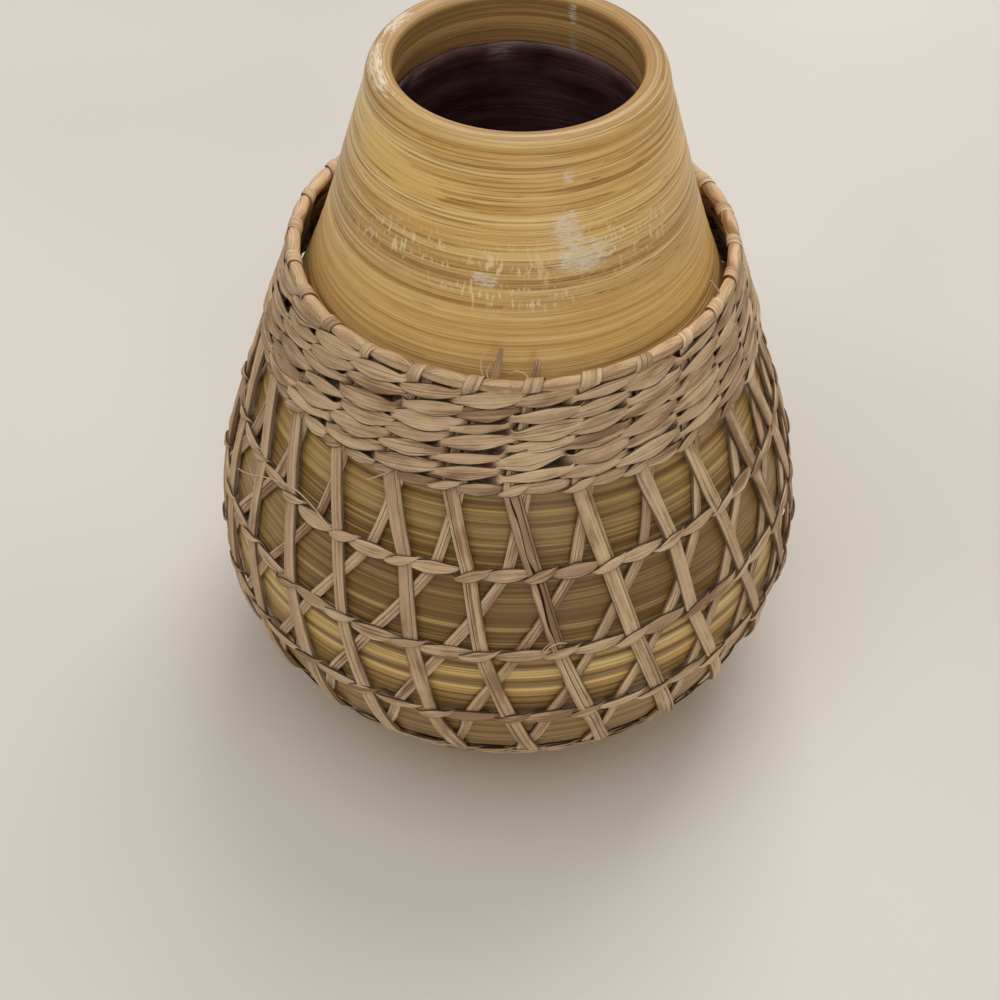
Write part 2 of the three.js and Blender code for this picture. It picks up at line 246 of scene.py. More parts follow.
def turned(outline):
    """Points of an outline carried round the upright axis, and the angle of each step round it."""
    angle = np.linspace(0, 2 * np.pi, BODY_SEGMENTS, endpoint=False)
    radius = outline[:, 0][:, None]
    height = np.repeat(outline[:, 1][:, None], BODY_SEGMENTS, axis=1)
    points = np.stack([radius * np.sin(angle), -radius * np.cos(angle), height], axis=-1)
    return points, angle


def strip_places(distances, angle, radius=STRIP_RADIUS):
    """For the bamboo's grain: place round the vase on a mean radius, and distance up the coil."""
    distance = np.repeat(np.asarray(distances)[:, None], len(angle), axis=1)
    around = np.broadcast_to(angle, distance.shape)
    return np.stack([radius * np.sin(around), -radius * np.cos(around), distance], axis=-1)


def patch(strip, degrees, distance, half_round, half_up):
    """A soft-edged patch on the coil, one at its middle and nothing past its half sizes."""
    angle = np.arctan2(strip[..., 0], -strip[..., 1]) - math.radians(degrees)
    angle = (angle + np.pi) % (2 * np.pi) - np.pi
    reach = np.hypot(np.degrees(angle) / half_round, (strip[..., 2] - distance) / half_up)
    return np.clip(PATCH_EDGE * (1 - reach), 0, 1)


def worn(strip, marks):
    """How far some patches reach, as the most of any of them; among the scuffs, one patch is a painted
    highlight.
    """
    amount = np.zeros(strip.shape[:2])
    for mark in marks:
        amount = np.maximum(amount, patch(strip, *mark))
    return amount


def moved(marks, distance_of):
    """Marks given by height or depth, moved to their distance up the coil."""
    return [(degrees, distance_of(place), *half_sizes) for degrees, place, *half_sizes in marks]


def up_the_wall(marks):
    """Marks given by height, moved to their distance up the outside."""
    return moved(marks, lambda height: distance_at_height(height, 0))


def belt(strip, distance, half_width, strength):
    """A soft-edged belt of tone round the coil."""
    return strength * np.clip(BELT_EDGE * (1 - np.abs(strip[..., 2] - distance) / half_width), 0, 1)


def add_node(tree, kind, inputs, **settings):
    """A shader node with its settings, and its inputs set or linked."""
    node = tree.nodes.new(kind)
    for name, value in settings.items():
        setattr(node, name, value)
    for name, value in inputs.items():
        if isinstance(value, bpy.types.NodeSocket):
            tree.links.new(value, node.inputs[name])
        else:
            node.inputs[name].default_value = value
    return node


def trait_of(tree, name):
    """A vector that the mesh carries at its points."""
    return add_node(tree, "ShaderNodeAttribute", {}, attribute_name=name).outputs["Vector"]


def parts_of(tree, vector):
    """The three parts of a vector."""
    return add_node(tree, "ShaderNodeSeparateXYZ", {"Vector": vector}).outputs


def grains_over(tree, place, counts):
    """Named noises over a place, each with its counts per unit in three directions and its finer detail."""
    grains = {}
    for name, (*stretch, detail) in counts.items():
        scaled = add_node(tree, "ShaderNodeVectorMath", {0: place, 1: stretch}, operation="MULTIPLY")
        inputs = {"Vector": scaled.outputs[0], "Scale": 1.0, "Detail": detail}
        grains[name] = add_node(tree, "ShaderNodeTexNoise", inputs).outputs["Fac"]
    return grains


def rise(tree, value, low, high, top=1.0):
    """A value eased from nothing at low to top at high."""
    inputs = {"Value": value, "From Min": low, "From Max": high, "To Max": top}
    return add_node(tree, "ShaderNodeMapRange", inputs, interpolation_type="SMOOTHSTEP").outputs["Result"]


def product(tree, first, second):
    """Two values multiplied."""
    return add_node(tree, "ShaderNodeMath", {0: first, 1: second}, operation="MULTIPLY").outputs[0]


def total(tree, first, second):
    """Two values added."""
    return add_node(tree, "ShaderNodeMath", {0: first, 1: second}, operation="ADD").outputs[0]


def shades(tree, value, stops):
    """Colours along a value."""
    node = add_node(tree, "ShaderNodeValToRGB", {"Fac": value})
    elements = node.color_ramp.elements
    elements.remove(elements[1])
    elements[0].position = stops[0][0]
    elements[0].color = linear(stops[0][1])
    for place, colour in stops[1:]:
        elements.new(place).color = linear(colour)
    return node.outputs["Color"]


def laid_over(tree, amount, under, over):
    """One colour laid over another where amount says; a plain colour is given as 0 to 255."""
    if isinstance(over, tuple):
        over = linear(over)
    inputs = {"Factor": amount, "A": under, "B": over}
    return add_node(tree, "ShaderNodeMix", inputs, data_type="RGBA").outputs["Result"]


def new_finish(name):
    """An empty material with its node tree and shader."""
    material = bpy.data.materials.new(name)
    material.use_nodes = True
    return material, material.node_tree, material.node_tree.nodes["Principled BSDF"]


def set_sheen(shader, settings):
    """Values of the shader that are the same all over the surface."""
    for name, value in settings.items():
        shader.inputs[name].default_value = value


def set_roughness(tree, shader, pattern, smooth, rough):
    """Roughness that follows a pattern from smooth to rough."""
    spread = add_node(tree, "ShaderNodeMapRange", {"Value": pattern, "To Min": smooth, "To Max": rough})
    tree.links.new(spread.outputs["Result"], shader.inputs["Roughness"])


def set_bump(tree, shader, height, strength, depth):
    """Fine relief in the surface from a height pattern, with its depth in millimetres."""
    inputs = {"Height": height, "Strength": strength, "Distance": depth * MM}
    bump = add_node(tree, "ShaderNodeBump", inputs)
    tree.links.new(bump.outputs["Normal"], shader.inputs["Normal"])


def lacquered_bamboo():
    """Clear satin lacquer over coiled bamboo strip."""
    material, tree, shader = new_finish("lacquered_bamboo")
    grains = grains_over(tree, trait_of(tree, "strip"), BAMBOO_GRAINS)
    turns = grains["turns"]
    worn_off_and_sheen, ticked, tone = parts_of(tree, trait_of(tree, "wear_and_light"))
    smooth, bare, skin = parts_of(tree, trait_of(tree, "skin"))
    toned = total(tree, turns, product(tree, grains["zones"], ZONE_SHARE))
    body = shades(tree, rise(tree, toned, *BODY_RANGE), BODY_SHADES)
    for name, start, full, strength, colour in BAMBOO_LINES:
        body = laid_over(tree, rise(tree, grains[name], start, full, strength), body, colour)
    body = laid_over(tree, smooth, body, shades(tree, grains["zones"], SMOOTH_SHADES))
    body = laid_over(tree, bare, body, BAMBOO_BARE)
    flayed = total(tree, skin, product(tree, grains["dashes"], SKIN_SHARE))
    body = laid_over(tree, rise(tree, flayed, *SKIN_RANGE), body, BAMBOO_SKIN)
    # Umber where the tone is below nothing: on the belly, partly painted shade under the sleeve.
    umber_and_shade = product(tree, rise(tree, tone, *UMBER_RANGE), rise(tree, turns, *UMBER_TURNS))
    body = laid_over(tree, umber_and_shade, body, BAMBOO_UMBER)
    stripe = product(tree, rise(tree, tone, *STRIPE_RANGE), rise(tree, turns, *STRIPE_TURNS))
    body = laid_over(tree, stripe, body, BAMBOO_STRIPE)
    clusters = rise(tree, grains["clusters"], *CLUSTER_RANGE)
    chips = product(tree, rise(tree, grains["ticks"], *TICK_RANGE), clusters)
    body = laid_over(tree, product(tree, ticked, chips), body, BAMBOO_TICK)
    # Pale scuffs, and on the neck one painted highlight.
    scuffed_and_sheen = total(tree, product(tree, worn_off_and_sheen, SCUFF_AND_SHEEN_SHARE), grains["hatching"])
    body = laid_over(tree, rise(tree, scuffed_and_sheen, *SCUFF_AND_SHEEN_RANGE), body, BAMBOO_SCUFF_AND_SHEEN)
    tree.links.new(body, shader.inputs["Base Color"])
    set_roughness(tree, shader, grains["hairs"], *BAMBOO_ROUGHNESS)
    set_sheen(shader, BAMBOO_SHEEN)
    set_bump(tree, shader, total(tree, turns, grains["hairs"]), *BAMBOO_BUMP)
    return material


bamboo = lacquered_bamboo()
outside_distances = np.arange(0, profile_length, TURN_HEIGHT)
outside_relief = seeded.uniform(-TURN_RELIEF, TURN_RELIEF, len(outside_distances))
outside_relief[[0, -1]] = 0
outside = profile_place(outside_distances, outside_relief)
inside_start = distance_at_height(BASE_THICKNESS, -WALL)
inside_end = distance_at_height(wall_top, -WALL)
inside_distances = np.linspace(inside_end, inside_start, int(profile_length / INSIDE_STEP))
inside = profile_place(inside_distances, -WALL)
mouth_radius = inside[0, 0]
mouth_distance = profile_length + WALL + RIM_HEIGHT
seat_radius = FOOT_RADIUS - FOOT_RING_WIDTH
seat = [[seat_radius, BASE_THICKNESS], [seat_radius, 0]]
wall_outline = np.vstack([outside, neck, [mouth_radius, wall_top], inside, seat])
wall_distances = np.concatenate([
    outside_distances,
    [profile_length, profile_length + WALL],
    mouth_distance + (inside_end - inside_distances),
    [-FOOT_RING_WIDTH - BASE_THICKNESS, -FOOT_RING_WIDTH],
])
wall_points, around = turned(wall_outline)
wall_strip = strip_places(wall_distances, around)
is_inside = wall_strip[..., 2] > profile_length

# Painted shade on the belly under the sleeve, mixed with its darker bamboo and eased off towards the sides.
wall_tone_and_shade = belt(wall_strip, *BELLY_TONE_AND_SHADE)
wall_tone_and_shade *= between(SIDE_TONE_AND_SHADE_SHARE, 1, np.clip(np.cos(around), 0, 1) ** FRONT_FOCUS)
for tone in COIL_TONES:
    wall_tone_and_shade += belt(wall_strip, *tone)
wall_tone_and_shade = np.clip(wall_tone_and_shade, -1, 1)
wall_tone_and_shade[is_inside] = 0
wall_scuffs_and_sheen = up_the_wall(SCUFFS_AND_SHEEN) + moved(INSIDE_MARKS, lambda depth: mouth_distance + depth)
wall_ticks = up_the_wall(TICK_BANDS)
wall_wear_and_light = np.stack([worn(wall_strip, wall_scuffs_and_sheen), worn(wall_strip, wall_ticks), wall_tone_and_shade], axis=-1)
wall_skin = np.zeros_like(wall_strip)
for *mark, strength in SMOOTH_TURNS:
    wall_skin[..., 0] = np.maximum(wall_skin[..., 0], strength * worn(wall_strip, up_the_wall([mark])))
wall_skin[is_inside, 1] = INSIDE_BARE
wall_skin[..., 2] = worn(wall_strip, up_the_wall(LEFT_SKINS))
add_piece("coiled_wall", wall_points, loop_faces(len(wall_outline), BODY_SEGMENTS, True),
          {"strip": wall_strip, "wear_and_light": wall_wear_and_light, "skin": wall_skin},
          bamboo, "wall_coil", SHARP_CORNER)


# Base: a flat disc of the same strip, coiled round its own middle and glued into the foot ring.
# It is out of sight under the vase; its turns show as rings on the underside.
GLUE_GAP = 0.3
BASE_TURN = 1.6
BASE_RELIEF = 0.12
BASE_EDGE = 0.5


def capped_faces(rows, columns):
    """Faces of a turned outline whose first and last points lie on the axis."""
    faces = [[corner + 1 for corner in face] for face in loop_faces(rows, columns, False)]
    last = rows * columns + 1
    top = last - columns
    for column in range(columns):
        beside = (column + 1) % columns
        faces.append([0, 1 + beside, 1 + column])
        faces.append([last, top + column, top + beside])
    return faces


def add_capped_piece(name, outline, distances, material, node, shape=None, marks=()):
    """A turned piece closed on the axis at both ends, with its places on the coil and its worn marks."""
    points, angle = turned(outline[1:-1])
    if shape:
        points = shape(points, angle)
    poles = np.array([[0, 0, outline[0, 1]], [0, 0, outline[-1, 1]]])
    net = np.vstack([poles[:1], points.reshape(-1, 3), poles[1:]])
    strip = strip_places(distances[1:-1], angle)
    wear_and_light = np.zeros_like(strip)
    wear_and_light[..., 0] = worn(strip, marks)
    strip = np.vstack([[[0, 0, distances[0]]], strip.reshape(-1, 3), [[0, 0, distances[-1]]]])
    traits = {"strip": strip, "wear_and_light": np.pad(wear_and_light.reshape(-1, 3), ((1, 1), (0, 0)))}
    add_piece(name, net, capped_faces(len(outline) - 2, BODY_SEGMENTS), traits, material, node)


base_radius = seat_radius - GLUE_GAP
base_rings = np.arange(0, base_radius - BASE_EDGE, BASE_TURN)
base_relief = seeded.uniform(0, BASE_RELIEF, len(base_rings))
base_under = np.column_stack([base_rings, base_relief])
base_rim = [[base_radius - BASE_EDGE, 0], [base_radius, BASE_EDGE],
            [base_radius, BASE_THICKNESS], [0, BASE_THICKNESS]]
base_outline = np.vstack([base_under, base_rim])
add_capped_piece("coiled_base", base_outline, distances_along(base_outline), bamboo, "base_disc")


# Lip: the last hoop of strip, wider than the wall's turns, glued on top and rounded over by sanding.
# Its lacquer is worn to pale bare wood where the mouth is gripped, and it is left bare inside.
RIM_CROWN_INSET = 3.4
RIM_INNER_EASE = 1.8
LIP_LEAN_SHARE = 0.4
LIP_STEPS = 9
LIP_INSIDE_STEPS = 4
LIP_STRIP_RADIUS = 26.0
LIP_SCUFFS = [(-80, 6.5, 38, 4.0), (-116, 7.5, 20, 2.8), (153, 13, 5, 5)]
LIP_TONE = -0.58


def quick_bend(start, pull, end):
    """Points of a plain bend from start to end, drawn towards one pull, without its last point."""
    share = np.linspace(0, 1, LIP_STEPS, endpoint=False)[:, None]
    rest = 1 - share
    return rest ** 2 * np.array(start) + 2 * rest * share * np.array(pull) + share ** 2 * np.array(end)


lip_lean = NECK_RADIUS + LIP_LEAN_SHARE * RIM_HEIGHT * neck_slope[0] / neck_slope[1]
crown = (NECK_RADIUS - RIM_CROWN_INSET, HEIGHT)
inner_edge = (mouth_radius, HEIGHT - RIM_INNER_EASE)
lip_outline = np.vstack([
    quick_bend((NECK_RADIUS, wall_top), (lip_lean, HEIGHT), crown),
    quick_bend(crown, (mouth_radius, HEIGHT), inner_edge),
    np.linspace(inner_edge, (mouth_radius, wall_top), LIP_INSIDE_STEPS),
])
lip_points, around = turned(lip_outline)
lip_strip = strip_places(profile_length + distances_along(lip_outline), around, LIP_STRIP_RADIUS)
lip_share = (lip_strip[..., 2] - profile_length) / RIM_HEIGHT
lip_wear = np.zeros_like(lip_strip)
lip_wear[..., 0] = worn(lip_strip, moved(LIP_SCUFFS, lambda up_the_lip: profile_length + up_the_lip))
lip_wear[..., 2] = LIP_TONE * np.clip(lip_share, 0, 1) ** 2
lip_skin = np.zeros_like(lip_strip)
lip_skin[..., 1] = INSIDE_BARE * np.clip(lip_share - 1, 0, 1)
add_piece("rounded_lip", lip_points, loop_faces(len(lip_outline), BODY_SEGMENTS, True),
          {"strip": lip_strip, "wear_and_light": lip_wear, "skin": lip_skin},
          bamboo, "rim_coil", SHARP_CORNER)


# Lining: dark brown-black lacquer brushed over the inside, so that the coiled bamboo holds water.
# It dries glossy, with soft brush waves and an edge that wanders about a finger's width below the mouth.
LINING_BELOW_MOUTH = 13.0
LINING_THICKNESS = 0.8
LINING_STEPS = 60
EDGE_WANDER = 0.25
EDGE_WAVES = (2, 14)
EDGE_REACH = 8.0
SMEARS = [(-172, 3.2, 8, 0.8), (-126, 3.0, 7, 0.9)]
LACQUER_DEEP = (74, 50, 50)
LACQUER_WARM = (126, 96, 96)
LACQUER_SMEAR = (226, 206, 196)
LACQUER_SHADES = [(0.35, LACQUER_DEEP), (0.7, LACQUER_WARM)]
LACQUER_GRAINS = {
    "waves": (0.05, 0.05, 0.16, 3.0),
    "brush": (0.02, 0.02, 0.9, 2.0),
    "hatching": (0.2, 0.2, 2.2, 3.0),
}
SMEAR_RANGE = (0.35, 0.6, 0.6)
LACQUER_ROUGHNESS = (0.22, 0.46)
LACQUER_BUMP = (0.35, 0.6)


def dark_lacquer():
    """Thick glossy lacquer with brush waves."""
    material, tree, shader = new_finish("dark_lacquer")
    grains = grains_over(tree, trait_of(tree, "strip"), LACQUER_GRAINS)
    smeared = parts_of(tree, trait_of(tree, "wear_and_light"))[0]
    smear = product(tree, smeared, rise(tree, grains["hatching"], *SMEAR_RANGE))
    body = laid_over(tree, smear, shades(tree, grains["waves"], LACQUER_SHADES), LACQUER_SMEAR)
    tree.links.new(body, shader.inputs["Base Color"])
    set_roughness(tree, shader, grains["brush"], *LACQUER_ROUGHNESS)
    set_bump(tree, shader, total(tree, grains["waves"], grains["brush"]), *LACQUER_BUMP)
    return material


def wander(angle, size, slowest, fastest):
    """A seeded soft wandering round the vase, of about the given size."""
    wandered = np.zeros_like(angle)
    waves = np.arange(slowest, fastest + 1)
    for wave in waves:
        wandered += seeded.normal() * np.cos(wave * angle + seeded.uniform(0, 2 * np.pi))
    return size * wandered / math.sqrt(len(waves))


lining_top = HEIGHT - LINING_BELOW_MOUTH
lining_floor = BASE_THICKNESS + GLUE_GAP
lining_inside = lining_floor + LINING_THICKNESS
back_layer = -WALL - GLUE_GAP
face_layer = back_layer - LINING_THICKNESS


def wandering_edge(points, angle):
    """The lining's upper edge moved up and down where the brush stopped."""
    nearness = np.clip(1 - (lining_top - points[..., 2]) / EDGE_REACH, 0, 1)
    points[..., 2] += nearness * wander(angle, EDGE_WANDER, *EDGE_WAVES)
    return points


back_distances = np.linspace(distance_at_height(lining_floor, back_layer),
                             distance_at_height(lining_top, back_layer), LINING_STEPS)
face_distances = np.linspace(distance_at_height(lining_top, face_layer),
                             distance_at_height(lining_inside, face_layer), LINING_STEPS)
lining_outline = np.vstack([
    [0, lining_floor],
    profile_place(back_distances, back_layer),
    profile_place(face_distances, face_layer),
    [0, lining_inside],
])
lining_distances = np.concatenate([[0], back_distances, face_distances, [0]])
smears = moved(SMEARS, lambda below_edge: distance_at_height(lining_top - below_edge, face_layer))
add_capped_piece("dark_lining", lining_outline, lining_distances, dark_lacquer(),
                 "lacquer_lining", wandering_edge, smears)


# Hoop: one round reed bent into a ring, which holds the sleeve's upper edge.
# It is never fixed to the vase: the leaf ribbons folded over it hang the sleeve on the wide belly,
# and their folds pinch it, so it swells a little between them.
HOOP_HEIGHT = 137.2
HOOP_PINCH = 1.2
HOOP_SWELL = 0.5
SWELL_POWER = 0.4
PINCH_SHARPNESS = 6
WEAVE_LAYER = 1.75
SLEEVE_FLARE = 3.0
RIBBON_PAIRS = 13
FIRST_FOLD_ANGLE = -8.5
BAND_ROWS = 7
BAND_DROP = 4.4
BAND_PITCH = 3.4
OPEN_ROW_DROPS = (22.0, 21.8, 20.8)
HOOP_STEPS = 390
HOOP_SIDES = 14
HOOP_WANDER = 0.25
HOOP_WAVES = (2, 7)
REED_LIGHT = (220, 188, 148)
REED_MIDDLE = (200, 164, 122)
REED_DARK = (150, 114, 78)

# Grains of a dried leaf or reed: counts per millimetre along and across it and from one to the next.
FIBRE_GRAINS = {
    "fibres": (0.02, 2.2, 7.3, 4.0),
    "blotches": (0.12, 0.4, 5.1, 5.0),
    "threads": (0.015, 4.2, 3.7, 2.0),
    "flushes": (0.02, 0.1, 0.83, 2.0),
}
FIBRE_RANGE = (0.64, 1.4)
FIBRE_STOPS = (0.1, 0.45, 0.85)
FLUSH_RANGE = (0.45, 0.62, 0.5)
THREAD_RANGE = (0.6, 0.68, 0.4)
TUCKED_SHADE_RANGE = (0.0, 1.0, 0.58)
CREASE_SHADE_RANGE = (0.05, 0.8, 0.95)
FIBRE_ROUGHNESS = (0.55, 0.8)
FIBRE_SHEEN = {"Specular IOR Level": 0.3}
FIBRE_BUMP = (0.75, 0.3)

RIBBONS = 2 * RIBBON_PAIRS
RIBBON_ANGLE = 360 / RIBBONS
band_end = BAND_DROP + (BAND_ROWS - 1) * BAND_PITCH
open_rows = band_end + np.cumsum(OPEN_ROW_DROPS)
hoop_distance = distance_at_height(HOOP_HEIGHT, WEAVE_LAYER + SLEEVE_FLARE)


def flare(drop):
    """How far the sleeve stands off the bamboo at a drop below the hoop."""
    return SLEEVE_FLARE * np.maximum(0, 1 - drop / open_rows[0])


def sleeve_place(degrees, drop, layer):
    """A point of the sleeve: degrees round, distance down from the hoop, height above the bamboo."""
    place = profile_place(hoop_distance - drop, layer + flare(drop))
    angle = np.radians(degrees)
    return np.stack([place[..., 0] * np.sin(angle), -place[..., 0] * np.cos(angle), place[..., 1]], axis=-1)


def sleeve_radius(drop):
    """Radius of the sleeve's weave at a drop below the hoop."""
    return profile_place(hoop_distance - drop, WEAVE_LAYER)[..., 0]


def dried_fibre(name, light, middle, dark, flush, crease):
    """Dried leaf or reed: lengthwise fibres, blotches, a flush on some lengths, and painted shade in the
    creases, along the edges and on lengths tucked behind others.
    """
    material, tree, shader = new_finish(name)
    grains = grains_over(tree, trait_of(tree, "fibre"), FIBRE_GRAINS)
    crease_and_edge_shade, tucked_shade, tone = parts_of(tree, trait_of(tree, "tone"))
    toned = total(tree, total(tree, grains["fibres"], grains["blotches"]), tone)
    body = shades(tree, rise(tree, toned, *FIBRE_RANGE), list(zip(FIBRE_STOPS, (dark, middle, light))))
    body = laid_over(tree, rise(tree, grains["flushes"], *FLUSH_RANGE), body, flush)
    body = laid_over(tree, rise(tree, grains["threads"], *THREAD_RANGE), body, dark)
    # Painted shade on lengths tucked behind others.
    body = laid_over(tree, rise(tree, tucked_shade, *TUCKED_SHADE_RANGE), body, crease)
    # Painted shade in the creases and along the edges.
    body = laid_over(tree, rise(tree, crease_and_edge_shade, *CREASE_SHADE_RANGE), body, crease)
    tree.links.new(body, shader.inputs["Base Color"])
    set_roughness(tree, shader, grains["fibres"], *FIBRE_ROUGHNESS)
    set_sheen(shader, FIBRE_SHEEN)
    set_bump(tree, shader, total(tree, grains["fibres"], grains["threads"]), *FIBRE_BUMP)
    return material


hoop_degrees = np.linspace(0, 360, HOOP_STEPS, endpoint=False)
hoop_turn = np.linspace(0, 2 * np.pi, HOOP_SIDES, endpoint=False)[None, :]
hoop_rise = wander(np.radians(hoop_degrees), HOOP_WANDER, *HOOP_WAVES)[:, None]
between_folds = 0.5 - 0.5 * np.cos(np.radians(RIBBONS * (hoop_degrees - FIRST_FOLD_ANGLE)))
hoop_radius = (HOOP_PINCH + HOOP_SWELL * between_folds ** SWELL_POWER)[:, None]
hoop_drop = hoop_rise + hoop_radius * np.sin(hoop_turn)
hoop_layer = WEAVE_LAYER + hoop_radius * np.cos(hoop_turn)
hoop_points = sleeve_place(np.repeat(hoop_degrees[:, None], HOOP_SIDES, axis=1), hoop_drop, hoop_layer)
hoop_fibre = np.zeros_like(hoop_points)
hoop_fibre[..., 0] = np.radians(hoop_degrees)[:, None] * sleeve_radius(0.0)
hoop_fibre[..., 1] = hoop_radius * hoop_turn
hoop_shade = np.zeros_like(hoop_points)
# Painted shade on the reed where each ribbon's fold pinches it.
hoop_shade[..., 1] = np.clip(1 - PINCH_SHARPNESS * between_folds, 0, 1)[:, None]
reed = dried_fibre("dried_reed", REED_LIGHT, REED_MIDDLE, REED_DARK, REED_LIGHT, REED_DARK)
add_piece("reed_hoop", hoop_points, loop_faces(HOOP_STEPS, HOOP_SIDES, True),
          {"fibre": hoop_fibre, "tone": hoop_shade}, reed, "top_hoop")


# Ribbons: long dried leaves folded lengthwise, each hung over the hoop by its middle.
# The outer legs lean one way and the inner legs the other, so they cross between the rows;
# both legs are the stakes that the rows hold, and the inner ones dip under the outer ones.
FOLD_GAP = 0.05
FOLD_WRAP = 310
FOLD_STEPS = 28
LEG_SPACING = 2.6
BAND_LEAN = -4.5
RIBBON_LEAN = 4.8
INNER_SHIFT = 1.5
LEG_SHIFTS = (1.0, 2.0, 0.3, 0.8)
BORDER_DROP = 21.6
BORDER_ROWS = 2
RIBBON_TAIL = 3.0
DIP_START = 0.2
DIP_END = 0.6
FOLD_WIDTH = 3.5
FOLD_THICKNESS = 0.55
RIBBON_STEP = 0.8
BEND_WINDOW = 9
SLOWEST = 1e-6
LOOSENING = 10.0
LEAF_EDGE = 0.95
LEAF_EDGE_RISE = 0.5
LEAF_RIM = 0.82
LEAF_SHOULDER = 0.72
# Painted shade: how dark a leaf is drawn at its rim and along its edges, where it meets the leaves around
# it.
EDGE_SHADE = 0.42
RIM_SHADE = 0.6
RIB_TONE = 0.14
SHARP_FOLD = 38.0

# Layer above the bamboo, width and thickness of a leg in each part of its way down.
IN_BAND = (WEAVE_LAYER, 2.5, FOLD_THICKNESS)
OUTER_FREE = (1.5, 4.2, 1.5)
INNER_FREE = (1.15, 3.0, 1.05)
INNER_UNDER = (0.6, 3.0, 1.05)
IN_BORDER = (0.6, 2.5, 0.35)

# Creases lie at shares of the half width, and their depths are shares of the half thickness.
# Each crease is also drawn darker by its depth, as painted shade in its groove.
CREASE_HALF_WIDTH = 0.05
CREASE_LIMITS = (0.08, 0.8)
NEAR_EDGE_CREASE = (0.45, 0.7)
FAR_CREASE = (0.15, 0.5)
FOLD_CREASES = (-0.36, 0.34)
INNER_CREASES = ((-0.5, -0.15), (0.1, 0.45))
DEEP_CREASE = (0.6, 1.0)
FAINT_DEPTHS = (0.0, 0.0, 0.5)
FOLD_DEPTHS = (0.0, 0.5, 1.1)
INNER_DEPTHS = ((0.5, 1.0), (0.3, 1.0))
SPLIT_RIBBON = 2
SPLIT_CREASES = (-0.1, 0.5)
SPLIT_DEPTHS = (1.15, 0.8)
SPLIT_SHIFT = 0.15
SPLIT_GAPE = 0.07
WIDEST_GAPE = 0.12
SPLIT_TONE = -0.3

# Seeded variation: ranges for the outer leg, the fold and the inner leg, and drifts by size and spacing.
WIDTH_RANGES = ((0.72, 1.18), (0.72, 1.25), (0.8, 1.2))
TONE_RANGES = ((-0.1, 0.12), (-0.1, 0.15), (-0.12, 0.1))
OUTER_FLAP = (0.0, 0.5)
INNER_FLAP = (-0.1, 0.35)
LEAF_SEEDS = (0, 40)
ANGLE_DRIFT = (0.45, 30)
WIDTH_DRIFT = (0.06, 12)
LAYER_DRIFT = (0.1, 14)
ROLL_DRIFT = (5, 16)
CREASE_DRIFT = (0.03, 14)
GAPE_DRIFT = (0.1, 4)
SPLIT_DRIFT = (0.16, 5)

LEAF_LIGHT = (221, 191, 152)
LEAF_MIDDLE = (197, 165, 126)
LEAF_DARK = (146, 112, 79)
LEAF_FLUSH = (202, 168, 134)
# Painted shade colour for the creases, the edges and lengths tucked behind others.
LEAF_CREASE_SHADE = (52, 33, 20)

leaf = dried_fibre("dried_leaf", LEAF_LIGHT, LEAF_MIDDLE, LEAF_DARK, LEAF_FLUSH, LEAF_CREASE_SHADE)
border_start = open_rows[-1] + BORDER_DROP
border_end = border_start + (BORDER_ROWS - 1) * BAND_PITCH


def leg_angle(drop):
    """Half the angle between the two legs of a ribbon where they lie side by side."""
    return math.degrees(LEG_SPACING / 2 / float(sleeve_radius(drop)))


def outer_leg_angle(row):
    """Angle of an outer leg at an open row, counted from its fold."""
    shift = np.interp(row, np.arange(len(LEG_SHIFTS)), LEG_SHIFTS)
    return BAND_LEAN - leg_angle(band_end) + RIBBON_LEAN * row + shift


def inner_leg_angle(row):
    """Inner legs lie midway between outer legs at every open row."""
    return outer_leg_angle(row) - (row - 0.5) * RIBBON_ANGLE


last_row = len(open_rows)
border_outer_angle = outer_leg_angle(last_row + 1)
border_pair_angle = border_outer_angle - leg_angle(border_start)
border_inner_angle = border_pair_angle - leg_angle(border_start) - last_row * RIBBON_ANGLE


def border_places(angle):
    """The lower end of a leg, held flat by the border."""
    return [(drop, angle, *IN_BORDER) for drop in (border_start, border_end, border_end + RIBBON_TAIL)]


def outer_leg_places():
    """Drop, angle, layer, width and thickness down an outer leg, from the band to its lower end."""
    places = [(BAND_DROP, -leg_angle(BAND_DROP), *IN_BAND),
              (band_end - BAND_PITCH, outer_leg_angle(0), *IN_BAND)]
    for row, drop in enumerate([band_end, *open_rows]):
        places.append((drop, outer_leg_angle(row), *OUTER_FREE))
    places.append((between(border_start, open_rows[-1], DIP_START), border_outer_angle, *OUTER_FREE))
    return places + border_places(border_outer_angle)


def inner_leg_places():
    """The same down an inner leg, which dips under the outer legs between the rows."""
    band_angle = BAND_LEAN + leg_angle(band_end) + INNER_SHIFT
    places = [(BAND_DROP, leg_angle(BAND_DROP), *IN_BAND), (band_end, band_angle, *IN_BAND)]
    for share in (DIP_START, DIP_END):
        places.append((between(band_end, open_rows[0], share),
                       between(band_angle, inner_leg_angle(1), share), *INNER_UNDER))
    for row, drop in enumerate(open_rows, 1):
        places.append((drop, inner_leg_angle(row), *INNER_FREE))
        if row < last_row:
            places.append(((drop + open_rows[row]) / 2, inner_leg_angle(row + 0.5), *INNER_UNDER))
    places.append((between(border_start, open_rows[-1], DIP_END),
                   between(border_inner_angle, inner_leg_angle(last_row), DIP_END), *INNER_UNDER))
    places.append((between(border_start, open_rows[-1], DIP_START), border_inner_angle, *INNER_UNDER))
    return places + border_places(border_inner_angle)


def eased(values, window):
    """Values along a length with their corners eased over a window of steps."""
    weights = np.hanning(window + 2)[1:-1]
    padded = np.pad(values, window // 2, mode="edge")
    return np.convolve(padded, weights / weights.sum(), mode="valid")


def leg_path(places):
    """Even steps down a leg through its places, with soft bends."""
    places = np.array(places)
    drops = np.arange(places[0, 0], places[-1, 0], RIBBON_STEP)
    columns = [np.interp(drops, places[:, 0], column) for column in places.T[1:]]
    return np.column_stack([drops] + [eased(column, BEND_WINDOW) for column in columns])


